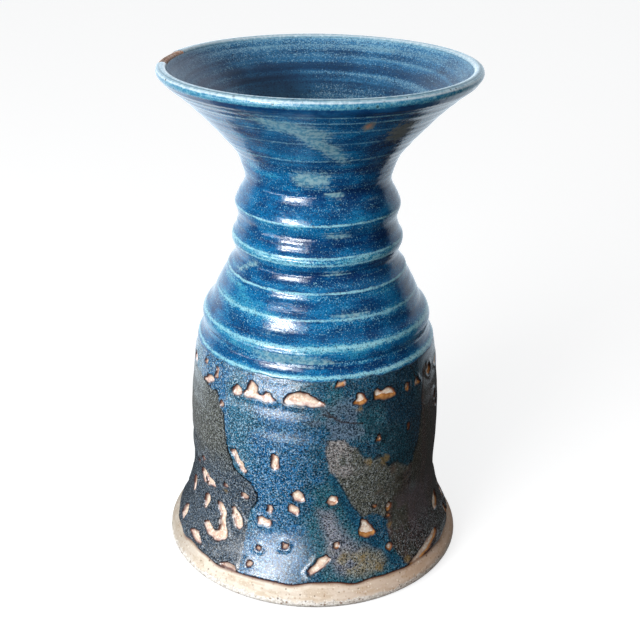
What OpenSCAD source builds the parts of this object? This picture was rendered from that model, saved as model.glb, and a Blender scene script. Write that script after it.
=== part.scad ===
// Wheel-thrown stoneware vase: a broad cylinder on a flared foot, a ridged
// shoulder and neck, and a wide trumpet mouth. The fired clay is one solid,
// and each coat of glaze is a thin shell fused to its surface.
// Millimetres, +Z up, the origin on the axis in the plane of the foot.

/* [Foot] */
// Radius of the flared foot at its widest
foot_r = 75; // [72:0.5:78]
// Width of the bevel round the bottom edge of the foot
foot_bevel = 2.5; // [1:0.5:3]
// Thickness of the floor inside
floor_t = 9.5; // [7:0.5:12]

/* [Wall] */
// Radius of the clay at the waist above the foot
waist_r = 61.2; // [59:0.2:63]
// Radius of the clay where the wall is fullest
wall_r = 61.7; // [60:0.2:63]
// Radius of the clay at the glaze line, where the wall turns in to the shoulder
shoulder_r = 57.5; // [56.5:0.1:58]
// Thickness of the clay low in the wall
wall_t = 7; // [6:0.5:8]

/* [Neck and mouth] */
// Radius of the clay at the narrowest part of the neck
neck_r = 33.9; // [33:0.1:35]
// Radius of the clay at the rim
rim_r = 73.2; // [72:0.2:75]
// Height of the clay, to the top of the lip
clay_h = 245.5; // [244.5:0.5:247]
// Thickness of the clay in the neck and the mouth
mouth_t = 5; // [4:0.5:6]

/* [Glaze] */
// Thickness of the blue glaze on the neck, mouth and lip
upper_t = 0.5; // [0.4:0.1:0.8]
// Thickness of the dark glaze on the lower wall
lower_t = 0.6; // [0.4:0.1:0.8]
// Thickness of the glaze that lines the inside
lining_t = 0.5; // [0.4:0.1:0.8]

/* [Hidden] */
$fn = 180;

// Straight pieces to each span between two chosen points
steps = 3;

// Foot: the bare clay band, as [radius, height] from the bevel up
FOOT = [
    [foot_r - foot_bevel, 0],
    [foot_r - 0.4, foot_bevel - 0.3],
    [foot_r, 4],
    [foot_r - 0.9, 6.5],
    [foot_r - 3.6, 9.5]
];

// Lower wall: the foot sweeps in to the waist, swells, and leans in to the shoulder
WALL = [
    [foot_r - 6.3, 15],
    [65.7, 22],
    [63.1, 31],
    [61.6, 39],
    [waist_r, 47],
    [wall_r - 0.1, 58],
    [wall_r, 70],
    [61.3, 82],
    [60.3, 93],
    [59.1, 103],
    [shoulder_r + 0.6, 110],
    [shoulder_r, 113.5]
];

// Shoulder: finger ridges that climb in to the neck
SHOULDER = [
    [55.7, 117],
    [54.6, 121],
    [55.1, 126],
    [53.4, 129.7],
    [50.5, 133],
    [48.3, 138],
    [46.4, 142],
    [44.1, 146.5],
    [42, 150.5],
    [39.6, 154]
];

// Neck: two full ridges between three grooves
NECK = [
    [38.5, 157.5],
    [39.6, 161.5],
    [40.4, 165],
    [38.5, 169],
    [37.2, 174.5],
    [38.2, 179],
    [38.6, 181.5],
    [37, 185.5],
    [34.6, 190],
    [neck_r, 194]
];

// Mouth: the trumpet opens to a thickened, rounded rim
MOUTH = [
    [35.5, 200],
    [37.8, 206],
    [42, 211.5],
    [47.1, 217.5],
    [52.6, 223.5],
    [57.9, 229],
    [62.7, 233.5],
    [67.4, 237.5],
    [71.2, 240.5],
    [rim_r - 0.6, 242.3],
    [rim_r, 243.8]
];

// Lip: flattened round, over the top of the rim to its inner edge
LIP = [
    [rim_r - 0.6, clay_h - 0.5],
    [rim_r - 1.9, clay_h],
    [rim_r - 3.3, clay_h - 0.3],
    [rim_r - 4.4, clay_h - 1.5]
];

// Inside of the trumpet, from the lip down to the neck
FUNNEL = [
    [rim_r - 6.8, 241.5],
    [60.3, 236.8],
    [53.5, 231],
    [47.5, 225],
    [42, 219],
    [37, 212.5],
    [33, 205.5],
    [neck_r - mouth_t + 0.9, 199]
];

// Inside of the neck and shoulder: shallow hollows behind the outer ridges
THROAT = [
    [neck_r - mouth_t, 193],
    [31.5, 186],
    [33, 180.5],
    [32.3, 174],
    [34.3, 165],
    [33.8, 158],
    [36.3, 150],
    [41.3, 139.5],
    [46, 130],
    [48.5, 123],
    [shoulder_r - wall_t + 0.2, 114]
];

// Inside of the belly, down to the rounded corner of the floor
BELLY = [
    [wall_r - wall_t - 1.7, 97],
    [wall_r - wall_t, 75],
    [waist_r - wall_t, 50],
    [waist_r - wall_t + 1.3, 33],
    [58.2, 22],
    [58.5, floor_t + 7],
    [56, floor_t + 2.2],
    [51, floor_t],
    [40, floor_t]
];

// One coordinate of a point of the Catmull-Rom curve from b to c
function curve(a, b, c, d, t) =
    b + (c - a) * t / 2
      + (2 * a - 5 * b + 4 * c - d) * t * t / 2
      + (3 * b - a - 3 * c + d) * t * t * t / 2;

// A smooth path through the points, in steps pieces to a span
function smooth(p) = concat(
    [for (i = [0 : len(p) - 2], k = [0 : steps - 1])
        curve(p[max(i - 1, 0)], p[i], p[i + 1], p[min(i + 2, len(p) - 1)], k / steps)],
    [p[len(p) - 1]]);

// Unit vector square to the path at point i, pointing away from the clay
function away(p, i) =
    let (d = p[min(i + 1, len(p) - 1)] - p[max(i - 1, 0)])
    [d[1], -d[0]] / norm(d);

// The points from index a to index b
function part_of(p, a, b) = [for (i = [a : b]) p[i]];

// The same stretch moved away from the clay by a coat's thickness
function coat_over(p, a, b, t) = [for (i = [a : b]) p[i] + t * away(p, i)];

// A path backwards
function backwards(p) = [for (i = [len(p) - 1 : -1 : 0]) p[i]];

// The surface of the clay, from the bottom edge of the foot up the outside,
// over the lip and down the inside to the floor
SKIN = smooth(concat(FOOT, WALL, SHOULDER, NECK, MOUTH, LIP, FUNNEL, THROAT, BELLY));

// Where the coats begin and end along the skin
bare_end = steps * (len(FOOT) - 1);
glaze_line = bare_end + steps * len(WALL);
lip_end = glaze_line + steps * (len(SHOULDER) + len(NECK) + len(MOUTH) + len(LIP));
skin_end = len(SKIN) - 1;

// A coat of glaze on one stretch of the skin
module coat(a, b, t) {
    rotate_extrude()
        polygon(concat(part_of(SKIN, a, b), backwards(coat_over(SKIN, a, b, t))));
}

// The thrown and fired clay
module clay_body() {
    color("#d9b48f")
    rotate_extrude()
        polygon(concat([[0, 0]], SKIN, [[0, floor_t]]));
}

// The dark mottled glaze on the lower wall, down to the bare foot
module lower_glaze() {
    color("#1d3a52")
    coat(bare_end, glaze_line, lower_t);
}

// The blue gloss glaze on the shoulder, neck and mouth, and over the lip
module upper_glaze() {
    color("#1f5c96")
    coat(glaze_line, lip_end, upper_t);
}

// The satin blue glaze that lines the inside down to the floor
module lining_glaze() {
    color("#3c6e9c")
    rotate_extrude()
        polygon(concat(
            part_of(SKIN, lip_end, skin_end),
            [[0, floor_t], [0, floor_t + lining_t]],
            backwards(coat_over(SKIN, lip_end, skin_end, lining_t))));
}

clay_body();
lower_glaze();
upper_glaze();
lining_glaze();
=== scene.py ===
"""Looks of a wheel-thrown stoneware vase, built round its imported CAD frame.

Lengths here are millimetres until a mesh is made. A place on the pot is given as
degrees round from the front (-Y), positive to the right, and a height or a length
along the skin, which is the clay's outline from the foot over the lip to the floor.
"""
import math

import bpy
import numpy as np
from mathutils import Matrix, Vector


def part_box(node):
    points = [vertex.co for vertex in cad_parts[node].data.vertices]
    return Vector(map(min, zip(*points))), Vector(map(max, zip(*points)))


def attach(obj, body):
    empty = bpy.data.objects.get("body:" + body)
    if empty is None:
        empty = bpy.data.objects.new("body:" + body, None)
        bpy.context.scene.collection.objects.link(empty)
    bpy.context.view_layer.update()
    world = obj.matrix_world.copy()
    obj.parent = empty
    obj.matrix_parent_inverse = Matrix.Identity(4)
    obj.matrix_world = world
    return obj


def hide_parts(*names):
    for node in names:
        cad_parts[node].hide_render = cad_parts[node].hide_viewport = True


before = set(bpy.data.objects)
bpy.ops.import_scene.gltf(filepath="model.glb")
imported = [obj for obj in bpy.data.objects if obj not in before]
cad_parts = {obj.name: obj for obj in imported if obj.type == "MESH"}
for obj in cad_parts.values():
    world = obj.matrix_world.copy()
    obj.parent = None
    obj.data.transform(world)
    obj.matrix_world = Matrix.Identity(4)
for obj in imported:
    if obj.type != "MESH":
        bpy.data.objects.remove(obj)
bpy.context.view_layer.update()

MM = 0.001
TAU = 2 * math.pi
# The radius in mm that stands for the whole lower wall where a pattern is laid out flat
WALL_R = 62


# ---------------------------------------------------------------- the clay's outline

def section_points(node):
    """Every different [radius, height] of a turned CAD node's corners."""
    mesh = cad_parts[node].data
    co = np.zeros(len(mesh.vertices) * 3, np.float32)
    mesh.vertices.foreach_get("co", co)
    x, y, z = co.reshape(-1, 3).T.astype(float) / MM
    return np.unique(np.round(np.stack([np.hypot(x, y), z], 1), 2), axis=0)


def ordered_skin(points):
    """The outline in order, walked from the bottom edge of the foot to the floor inside."""
    axis_gap, table_gap, least_step = 1.0, 0.05, 0.08
    radius, height = points.T
    foot_r = radius[height < table_gap].max()
    left = points[(radius > axis_gap) & ((height > table_gap) | (radius > foot_r - table_gap))]
    here = np.array([foot_r, 0.0])
    walk = [here]
    while len(left):
        away = np.hypot(*(left - here).T)
        left = left[away > least_step]
        if not len(left):
            break
        here = left[np.argmin(np.hypot(*(left - here).T))]
        walk.append(here)
    return np.array(walk)


class Skin:
    """A smooth curve through the outline, by length along it."""

    def __init__(self, points):
        self.p = points
        self.s = np.concatenate([[0], np.cumsum(np.hypot(*np.diff(points, axis=0).T))])
        self.d = np.gradient(points, self.s, axis=0)
        self.top = int(np.argmax(points[:, 1]))
        self.end = self.s[-1]

    def at(self, s):
        """Radius and height, and the unit normal away from the clay, at each length."""
        i = np.clip(np.searchsorted(self.s, s, "right") - 1, 0, len(self.s) - 2)
        span = self.s[i + 1] - self.s[i]
        u = ((s - self.s[i]) / span)[..., None]
        span = span[..., None]
        a, b, da, db = self.p[i], self.p[i + 1], self.d[i] * span, self.d[i + 1] * span
        where = (a * (2 * u**3 - 3 * u**2 + 1) + da * (u**3 - 2 * u**2 + u)
                 + b * (3 * u**2 - 2 * u**3) + db * (u**3 - u**2))
        slope = (a * (6 * u**2 - 6 * u) + da * (3 * u**2 - 4 * u + 1)
                 + b * (6 * u - 6 * u**2) + db * (3 * u**2 - 2 * u))
        slope /= np.linalg.norm(slope, axis=-1, keepdims=True)
        return where[..., 0], where[..., 1], slope[..., 1], -slope[..., 0]

    def outside(self, height):
        """The length along the skin at a height on the outside."""
        return np.interp(height, self.p[:self.top + 1, 1], self.s[:self.top + 1])

    def inside(self, height):
        """The length along the skin at a height on the inside."""
        return np.interp(height, self.p[self.top:, 1][::-1], self.s[self.top:][::-1])


skin = Skin(ordered_skin(section_points("clay_body")))
GLAZE_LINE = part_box("lower_glaze")[1].z / MM
BARE_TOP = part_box("lower_glaze")[0].z / MM + 0.4
LIP_END = skin.inside(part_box("lining_glaze")[1].z / MM)
NECK_INSIDE = skin.inside(skin.p[skin.top:, 1][np.argmin(skin.p[skin.top:, 0])])


# ---------------------------------------------------------------- small maths

def smooth(x, low, high):
    """0 below low, 1 above high, smooth between."""
    u = np.clip((x - low) / (high - low), 0, 1)
    return u * u * (3 - 2 * u)


def bump(x, centre, width):
    """A soft bump, 1 at the centre."""
    return np.exp(-((x - centre) / width) ** 2)


def rounded(x):
    """0 at 0 and 1 at 1, with a rise between them like a quarter of a circle."""
    return np.sqrt(1 - (1 - np.clip(x, 0, 1)) ** 2)


def wander(turn, along, seed, round_mm, along_mm, waves=14):
    """Smooth noise of about unit size that closes on itself round the pot."""
    rng = np.random.default_rng(seed)
    most = TAU * WALL_R / round_mm
    total = np.zeros(np.broadcast(turn, along).shape)
    for _ in range(waves):
        n = round(rng.uniform(-most, most))
        m = rng.uniform(0.3, 1.0) * TAU / along_mm
        total += np.cos(np.radians(turn) * n + along * m + rng.uniform(0, TAU))
    return total * math.sqrt(2 / waves)


def near_polygon(x, y, corners):
    """Signed distance to a polygon, negative inside."""
    best = np.full(x.shape, 1e9)
    inside = np.zeros(x.shape, bool)
    for (ax, ay), (bx, by) in zip(corners, np.roll(corners, -1, axis=0), strict=True):
        ex, ey = bx - ax, by - ay
        u = np.clip(((x - ax) * ex + (y - ay) * ey) / (ex * ex + ey * ey), 0, 1)
        best = np.minimum(best, np.hypot(x - ax - u * ex, y - ay - u * ey))
        crosses = (ay > y) != (by > y)
        if ey:
            inside ^= crosses & (x < ax + (y - ay) * ex / ey)
    return np.where(inside, -best, best)


# ---------------------------------------------------------------- where the glaze has crawled

# Each patch where the dark glaze drew back from the clay: its corners as
# (degrees round, height), how far they are rounded out, and the height of the thin
# amber film of glaze left along its lower side
CRAWLED = [
    # the row under the glaze line
    ([(-51.4, 105), (-50.7, 105), (-50.9, 109), (-51.3, 109)], 0.5, 0),
    ([(-38.4, 102.4), (-36, 102), (-35, 103), (-35.3, 104.6), (-36.8, 105.1), (-38.2, 104)], 0.6, 1.6),
    ([(-32.8, 103), (-32.5, 104), (-30.6, 105), (-30.4, 108.2), (-29.6, 109.6), (-28.1, 109.3),
      (-27.3, 107.8), (-27.1, 105.2), (-25.5, 104.2), (-22.8, 104.4), (-21.8, 105.9),
      (-20.4, 106), (-19.2, 104.8), (-18.2, 103.2), (-19.5, 102.8), (-26, 103), (-30, 102.6)], 0.4, 2),
    ([(-12.6, 103.2), (-12.2, 105), (-11.2, 106.4), (-9.3, 107.4), (-6.5, 107.8), (-3, 106.9),
      (0, 105.3), (2, 104), (3.5, 102.9), (2, 102.5), (-3, 102.8), (-9, 103)], 0.6, 2),
    ([(9.8, 111.4), (10.2, 112.3), (12, 113.3), (12.8, 113.2), (12.6, 112.2), (11, 111.4)], 0.4, 0.8),
    ([(18, 102.8), (19, 104.5), (19.9, 106), (20.7, 106.2), (22, 104.6), (23.2, 103.2), (22.8, 102.4),
      (20, 102.1)], 0.5, 1.8),
    ([(27.9, 103.6), (28.3, 105.5), (29.4, 106.1), (31, 105.5), (33, 106.3), (35.3, 106.3), (36.7, 105.1),
      (38.1, 103.2), (38, 102.2), (36, 101.9), (33, 102.4), (30, 102.8)], 0.6, 2.2),
    ([(45.4, 102.3), (45.2, 103.6), (46, 104.8), (47, 104.4), (47.4, 102.8), (46.5, 102)], 0.3, 1),
    ([(52.8, 102.5), (53, 104), (53.8, 104.8), (54.5, 103.4), (55.7, 102.3), (54, 102)], 0.3, 0.8),
    ([(-62.3, 108.3), (-61.5, 109.8), (-60.2, 109.5), (-60.4, 108.2)], 0.4, 0),
    ([(-80.7, 101.8), (-79.8, 105.2), (-76, 105.6), (-73.9, 104.2), (-75, 102.3)], 0.6, 2),
    ([(-60.8, 100.1), (-58, 102.8), (-54.2, 103.7), (-53, 102.8), (-54.7, 101.2), (-58, 99.9)], 0.4, 1.4),
    # scattered over the left and the front
    ([(-46.1, 92.8), (-45.6, 94.5), (-44.8, 94.2), (-44.8, 93.1)], 0.3, 0),
    ([(-17.7, 70.4), (-18, 73), (-17.4, 75.6), (-16.3, 76), (-15.4, 74.4), (-15.3, 71.5), (-16, 69.3),
      (-16.8, 68.8)], 0.4, 1),
    ([(-37.6, 72.4), (-36.7, 72.7), (-34.9, 70.1), (-33.1, 67.1), (-31.2, 64), (-31.4, 63.2), (-32.4, 63.7),
      (-34.6, 66.7), (-36.5, 69.5), (-37.8, 71.2)], 0.4, 0.8),
    ([(-8.6, 55), (-8.3, 57.2), (-6.8, 57.8), (-4.8, 56.1), (-4.2, 54), (-5.8, 53.3), (-7.8, 53.6)], 0.5, 1),
    ([(-10.3, 49), (-9.2, 49.6), (-7, 48.9), (-6.3, 46.4), (-7.1, 45), (-8.5, 45.3), (-9.8, 47)], 0.4, 1),
    ([(-32.8, 48.5), (-32.4, 50.2), (-31.2, 50.5), (-30.5, 49), (-31.6, 48.1)], 0.3, 0.4),
    ([(-43.8, 50.1), (-43.4, 51.7), (-42.4, 51.1), (-43, 50)], 0.2, 0),
    ([(-20.2, 44.7), (-19.7, 47), (-18.4, 47.5), (-18, 46), (-19, 44.3)], 0.2, 0.4),
    ([(-24.3, 37.5), (-23.8, 39.3), (-21.5, 40.2), (-19.5, 39.1), (-19.1, 36.9), (-20.6, 36.6)], 0.4, 1.4),
    ([(-38.3, 39.4), (-37.2, 40), (-35.1, 37.9), (-32.8, 35.1), (-33.1, 32.7), (-34.3, 31.1), (-35.8, 32.6),
      (-37.7, 36)], 0.5, 1),
    ([(-47, 38.2), (-45.2, 38.6), (-43.5, 37.4), (-42.7, 33.5), (-41.5, 28.4), (-40.2, 25), (-40.9, 22.5),
      (-43.5, 20.9), (-46, 19.7), (-48.6, 20.9), (-51.8, 21.5), (-53.9, 22.8), (-54, 24.7), (-52.7, 25.4),
      (-50.5, 24), (-47.5, 23.2), (-44.9, 24.7), (-44.2, 28.5), (-45, 33), (-46.7, 36)], 0.4, 0.8),
    ([(-56.4, 38.3), (-55.2, 37.8), (-54.9, 35.6), (-56.5, 31.3), (-57.8, 30.8), (-58.1, 33.5),
      (-57.4, 36.4)], 0.4, 0.8),
    ([(-63, 47), (-62.5, 49.7), (-60, 50.2), (-56, 48.4), (-51.7, 47.6), (-51.3, 45.9), (-55, 44.7),
      (-57.4, 43.4), (-57, 45.4), (-57.7, 47.6), (-59.4, 47.8), (-60.4, 46), (-59.6, 44),
      (-61, 43.9)], 0.4, 0.6),
    ([(-74.2, 33.2), (-73.3, 38.1), (-71.7, 38.6), (-70.9, 35.5), (-71.7, 31.9), (-73.3, 31.4)], 0.5, 1),
    ([(-76.7, 14.9), (-76.2, 18.7), (-74, 20.9), (-72.3, 17.9), (-72.6, 14.4)], 0.5, 1),
    ([(-67.2, 51.2), (-66.5, 52.7), (-65.3, 52.4), (-65.8, 51)], 0.3, 0),
    ([(-60.8, 56.2), (-60, 57.7), (-59.2, 57.3), (-60, 56)], 0.2, 0),
    ([(-62.5, 14.8), (-60, 16), (-57.5, 17.1), (-54.8, 15.4), (-53, 13.9), (-57, 13.7)], 0.3, 0.6),
    ([(-38.6, 11.8), (-36, 12.8), (-32.8, 12.2), (-32.3, 11.2)], 0.3, 0.3),
    ([(-27, 15.7), (-26.7, 17.2), (-25.5, 17.1), (-25.4, 15.6)], 0.2, 0),
    ([(-12.7, 27), (-12.5, 29.1), (-11.4, 28.8), (-11.2, 27.2)], 0.2, 0),
    ([(-23.8, 24.1), (-23.3, 25.4), (-22.4, 24.9), (-22.8, 23.9)], 0.2, 0),
    # scattered over the front and the right
    ([(5.7, 24), (6.4, 22.6), (4.5, 19.9), (1.5, 17.6), (-0.7, 15.9), (-1.2, 16.7), (0.6, 19.3),
      (3, 22.4)], 0.5, 0.6),
    ([(27.6, 82.2), (27.9, 83), (28.7, 83), (29.1, 84.4), (29.9, 84), (30, 82.4), (29.2, 81.7),
      (28.4, 82.4)], 0.2, 0.5),
    ([(45.7, 81.8), (45.9, 85.2), (46.4, 85), (46.2, 82)], 0.2, 0),
    ([(6.5, 52.3), (7.2, 54.6), (8.4, 55.4), (9.8, 54.7), (10.1, 52.4), (8.9, 50.9), (7.6, 51.3)], 0.3, 1.6),
    ([(27.5, 45.7), (27.6, 46.7), (28.8, 46.5), (28.9, 45.2), (28.2, 44.9)], 0.3, 0.5),
    ([(35.5, 41), (35.4, 44.5), (36, 45.1), (36.7, 43.7), (36.6, 40.9)], 0.3, 1.5),
    ([(35, 37.9), (35.1, 38.7), (35.7, 38.6), (35.6, 37.8)], 0.4, 0.5),
    ([(22.6, 40), (24, 38.8), (26.2, 35.6), (27.6, 33), (27.1, 31.1), (24.6, 30.8), (21.3, 32.6), (21.2, 35),
      (21.9, 38.4)], 0.4, 2),
    ([(33.5, 21.8), (33.7, 23.6), (34.9, 23.9), (35.3, 22.6), (34.5, 21.3)], 0.3, 0.8),
    ([(9.5, 28.3), (9.7, 29.9), (10.9, 30.1), (11.3, 28.6), (10.5, 27.8)], 0.3, 0.5),
    ([(43, 11.4), (48, 13.2), (54, 14.8), (60, 16), (64.5, 16.6), (64, 14.6), (58, 13), (52, 11.4),
      (46, 10.2)], 0.3, 0.6),
]

# Spots where the glaze is only thin, and amber shows: (degrees, height, radius)
AMBER_SPOTS = [
    (28.2, 15.4, 2.4), (21.5, 21, 1.8), (13.2, 23.5, 1.6), (42, 13.3, 1.6), (32.5, 71, 2.6),
    (24.5, 72, 1.8), (20.5, 99.6, 1.6), (-43, 47, 1.2), (36.2, 33, 1.4),
]

# Corners of the second, poured glazes, as (degrees round, height)
LEFT_POUR = [
    (-128, 88), (-112, 99), (-80, 100), (-60, 98.5), (-50, 97.5), (-47, 92), (-44.5, 85), (-42, 76),
    (-40, 67.5), (-38, 62.5), (-33, 60), (-28, 57), (-25.6, 53), (-27, 47), (-29.6, 40), (-30, 30),
    (-30.5, 20), (-32, 4), (-70, 4), (-110, 4), (-118, 40), (-132, 62),
]
RIGHT_POUR = [
    (5, 85), (8, 85.2), (13, 84.6), (17, 81.5), (20, 78.6), (22.5, 74.5), (26, 73.2), (30, 72.6), (33, 69),
    (35.2, 66), (39, 66.6), (42, 64.5), (45.5, 61.4), (50, 63), (53, 70), (55.5, 80), (57.5, 95), (60, 108),
    (75, 112), (104, 108), (112, 70), (126, 48), (122, 4), (60, 4), (43, 4), (39.5, 15), (37, 22), (35.2, 30),
    (34.5, 37), (31, 40), (26, 42.5), (22, 42.5), (17.5, 50), (13.5, 58), (10.5, 64), (7.5, 70), (6, 78),
]
LOW_POUR = [
    (2.5, 48.5), (5, 47), (8.5, 48), (10.5, 42), (13, 36.5), (16, 31.5), (20, 27.8), (25, 25.5), (29, 22),
    (31.5, 17.5), (29, 13.5), (22, 13), (14, 14.5), (9, 16), (6.5, 20), (6.5, 27), (5.5, 34), (3.2, 42),
]
BACK_POUR = [
    (142, 96), (158, 90), (171, 97), (186, 93), (199, 80), (206, 60), (215, 44), (226, 22), (222, 4),
    (160, 4), (153, 20), (160, 36), (152, 52), (141, 66), (137, 82),
]
# The middle of the brighter blue run beside the right pour
STREAM = [(8, 66), (11, 58), (15, 49), (18.5, 42), (20, 36), (27, 27.5), (32, 24), (34.5, 17)]
# Thin cracks in the glaze, as points joined in a line
CRACKS = [
    [(3.5, 98.4), (6, 97.2), (9.3, 96.6)],
    [(5.5, 99.5), (9, 96), (13, 94), (21, 92.3)],
    [(50, 113), (51.5, 109.5), (53.2, 105)],
    [(-56.5, 97), (-55, 99.8), (-54, 101)],
]


def blob(rng, turn, height, across, tall):
    """The corners of a rounded random patch."""
    corners = 8
    lean = rng.uniform(-0.5, 0.5)
    size = rng.uniform(0.65, 1.1, corners)
    ring = np.arange(corners) * TAU / corners
    x = across / 2 * size * np.cos(ring)
    y = tall / 2 * size * np.sin(ring)
    return [(turn + math.degrees((a + lean * b) / WALL_R), height + b) for a, b in zip(x, y, strict=True)]


def back_patches():
    """Crawled patches for the far side, in the same way as the near side's."""
    rng = np.random.default_rng(71)
    made = []
    turn = 66.0
    while turn < 276:
        across = rng.uniform(3, 13)
        tall = rng.uniform(3, 5.5)
        made.append((blob(rng, turn, 104 + rng.uniform(-1.5, 1.5), across, tall), 0.5, rng.uniform(0.8, 2)))
        turn += across + rng.uniform(3, 11)
    for _ in range(46):
        turn = rng.uniform(66, 276)
        height = 14 + 78 * rng.uniform(0, 1) ** 1.5
        across = rng.uniform(1.5, 7)
        tall = across * rng.uniform(0.8, 1.8)
        made.append((blob(rng, turn, height, across, tall), 0.4, rng.uniform(0, 1.4)))
    return made


PATCHES = CRAWLED + back_patches()
# How far in mm from a patch or a line distances are worked out, and the value beyond
FAR = 9.0


def turn_to_mm(turn, centre, radius):
    """Signed distance round the pot from a centre, the short way."""
    return ((turn - centre + 180) % 360 - 180) * (math.pi / 180) * radius


def side(turn):
    """Degrees to the right of the front, brought back to nothing straight behind the pot."""
    fold = 110
    behind = np.sign(turn) * fold * (180 - np.abs(turn)) / (180 - fold)
    return np.where(np.abs(turn) < fold, turn, behind)


def radius_at(height):
    """The clay's outside radius at one height."""
    return skin.at(skin.outside(np.array([height])))[0][0]


def drawn(outline, turn, s):
    """A polygon given in degrees and heights, as a signed distance in mm over the skin."""
    corners = np.array(outline, float)
    centre = corners.mean(0)
    radius = radius_at(centre[1])
    px = turn_to_mm(corners[:, 0], centre[0], radius)
    py = skin.outside(corners[:, 1])
    x = turn_to_mm(turn, centre[0], radius)
    far = np.full(turn.shape, FAR)
    close = (x > px.min() - FAR) & (x < px.max() + FAR) & (s > py.min() - FAR) & (s < py.max() + FAR)
    far[close] = near_polygon(x[close], s[close], np.stack([px, py], 1))
    return far


def near_line(points, turn, s):
    """Distance in mm from a line through points given in degrees and heights."""
    return np.min([drawn(ends, turn, s) for ends in zip(points[:-1], points[1:], strict=True)], axis=0)


def pour(outline, turn, s):
    """Signed distance to a poured glaze's edge, negative inside it, with a wandering edge."""
    x = turn_to_mm(turn, 0, WALL_R) + 0.5 * wander(turn, s, 5, 9, 12)
    corners = np.array(outline, float)
    px = corners[:, 0] * (math.pi / 180) * WALL_R
    py = skin.outside(corners[:, 1])
    y = s + 0.5 * wander(turn, s, 6, 9, 12)
    whole = TAU * WALL_R
    return np.min([near_polygon(x + k * whole, y, np.stack([px, py], 1)) for k in (-1, 0, 1)], axis=0)


def glaze_edge(turn):
    """Height of the dark glaze's lower edge round the foot."""
    wave = 0.6 * wander(turn, 0, 21, 40, 1) + 0.45 * wander(turn, 0, 22, 9, 1)
    return BARE_TOP + 0.9 + np.clip(wave, -1.6, 2.0)


def crawl(turn, s):
    """How far each point is from bare clay (negative on it), how full the glaze is there
    (0 at an edge, 1 away from it), and how far it is from the edge of a patch."""
    bead = 0.75
    x = turn + 0.25 * wander(turn, s, 11, 5, 5, 20)
    y = s + 0.25 * wander(turn, s, 12, 5, 5, 20)
    bare = np.full(turn.shape, FAR)
    full = np.ones(turn.shape)
    edge = np.full(turn.shape, FAR)
    for outline, rounding, film in PATCHES:
        whole = drawn(outline, x, y) - rounding
        gone = np.maximum(whole, drawn(outline, x, y - film) - rounding)
        rise = np.where(gone > 0, gone / (bead + np.maximum(gone - whole, 0)), gone / bead)
        bare = np.minimum(bare, gone)
        full = np.minimum(full, rise)
        edge = np.minimum(edge, whole)
    foot = (s - skin.outside(glaze_edge(turn))) * 0.9
    return np.minimum(bare, foot), np.minimum(full, foot / 1.1), np.minimum(edge, foot)


# ---------------------------------------------------------------- the shape by hand

# Lines left by the potter's fingers on the outside: (height, rise, width)
FINGER_LINES = [
    (241.2, -0.25, 0.8), (238.2, 0.22, 0.8), (234.6, 0.26, 0.9), (231.8, -0.12, 0.8), (229.4, 0.2, 0.9),
    (225.6, 0.12, 0.8), (222.4, 0.22, 0.9), (219.0, 0.16, 0.8), (215.3, 0.1, 0.7), (212.4, 0.26, 0.8),
    (208.6, 0.16, 0.9), (205.0, 0.12, 0.8), (201.5, 0.1, 0.7), (197.8, 0.1, 0.8),
    (181.0, 0.24, 0.8), (166.0, 0.16, 0.8), (163.0, 0.18, 0.8),
    (150.0, 0.38, 1.0), (147.4, -0.14, 1.2), (139.4, 0.16, 1.9), (128.8, 0.16, 1.6), (117.6, 0.08, 0.9),
    (115.2, 0.22, 0.9),
]
# Pale rings where the blue glaze broke thin: (height, strength, width)
PALE_RINGS = [
    (205.0, 0.2, 3.5), (197.0, 0.16, 1.5), (187.4, 0.2, 1.5), (179.4, 0.25, 1.7), (164.4, 0.6, 1.9),
    (153.0, 0.2, 1.0), (148.2, 0.3, 1.4), (139.5, 0.7, 1.6), (136.0, 0.25, 1.4), (128.6, 0.95, 1.3),
    (124.0, 0.3, 1.2), (121.2, 0.5, 0.9), (115.3, 1.3, 1.0),
]
# Thin pale lines along them: (height, strength, half width)
PALE_LINES = [
    (238.1, 0.55, 0.4), (234.6, 0.5, 0.35), (229.4, 0.25, 0.4), (222.4, 0.25, 0.4), (212.4, 0.3, 0.4),
    (181.0, 0.8, 0.45), (166.0, 0.85, 0.45), (163.2, 0.6, 0.4), (150.1, 0.9, 0.5), (139.6, 0.5, 0.5),
    (128.8, 0.6, 0.6), (115.4, 0.6, 0.6),
]
# Pale streaks, and one painted reflection of the window: (degrees round, height, half width, half height,
# lean, strength)
PALE_STREAKS_AND_REFLECTION = [
    (-4.5, 202, 9, 4.4, 0.0, 1.0), (-10, 231.5, 17, 3.6, -0.2, 1.0), (4, 220, 12, 4.2, -0.7, 1.0),
    (-54, 156, 8, 2.2, 0.5, 0.8), (14, 176, 7, 2.2, 0.0, 0.7), (14, 159, 7, 2.0, 0.0, 0.6),
    (13, 194, 5, 2.0, 0.0, 0.8), (20, 141, 10, 1.4, 0.0, 0.8), (-22, 133, 8, 2.0, 0.1, 0.4),
    (120, 205, 10, 3.0, 0.3, 0.9), (158, 228, 16, 2.6, -0.3, 0.9), (205, 176, 9, 2.4, 0.1, 0.8),
    (236, 214, 12, 3.0, 0.5, 0.9), (180, 146, 12, 2.2, -0.2, 0.8), (100, 158, 8, 2.2, 0.3, 0.7),
    # the first here is no streak but a painted reflection: a broad glow of the window on the shoulder at the
    # front left
    (-10, 122.4, 20, 3.4, 0.0, 0.75), (46, 190, 6, 2.4, 0.1, 0.35),
]
# Spots where the blue glaze turned brown, in the same terms
RUST = [
    (19.2, 232.6, 1.7, 1.8, 0, 0.7), (19.2, 232.6, 4.6, 4.2, 0, 0.42), (39, 227, 11, 9, 0, 0.55),
    (150, 238, 3, 2.5, 0, 0.9), (222, 190, 4, 2, 0, 0.5),
]
# The worn place on the rim: (degrees round, half length in mm)
WORN_RIM = (-100, 13)


def drift(turn, height):
    """How far the rings and lines on the outside stray up and down."""
    return 0.25 * wander(turn, height, 31, 120, 90)


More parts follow.
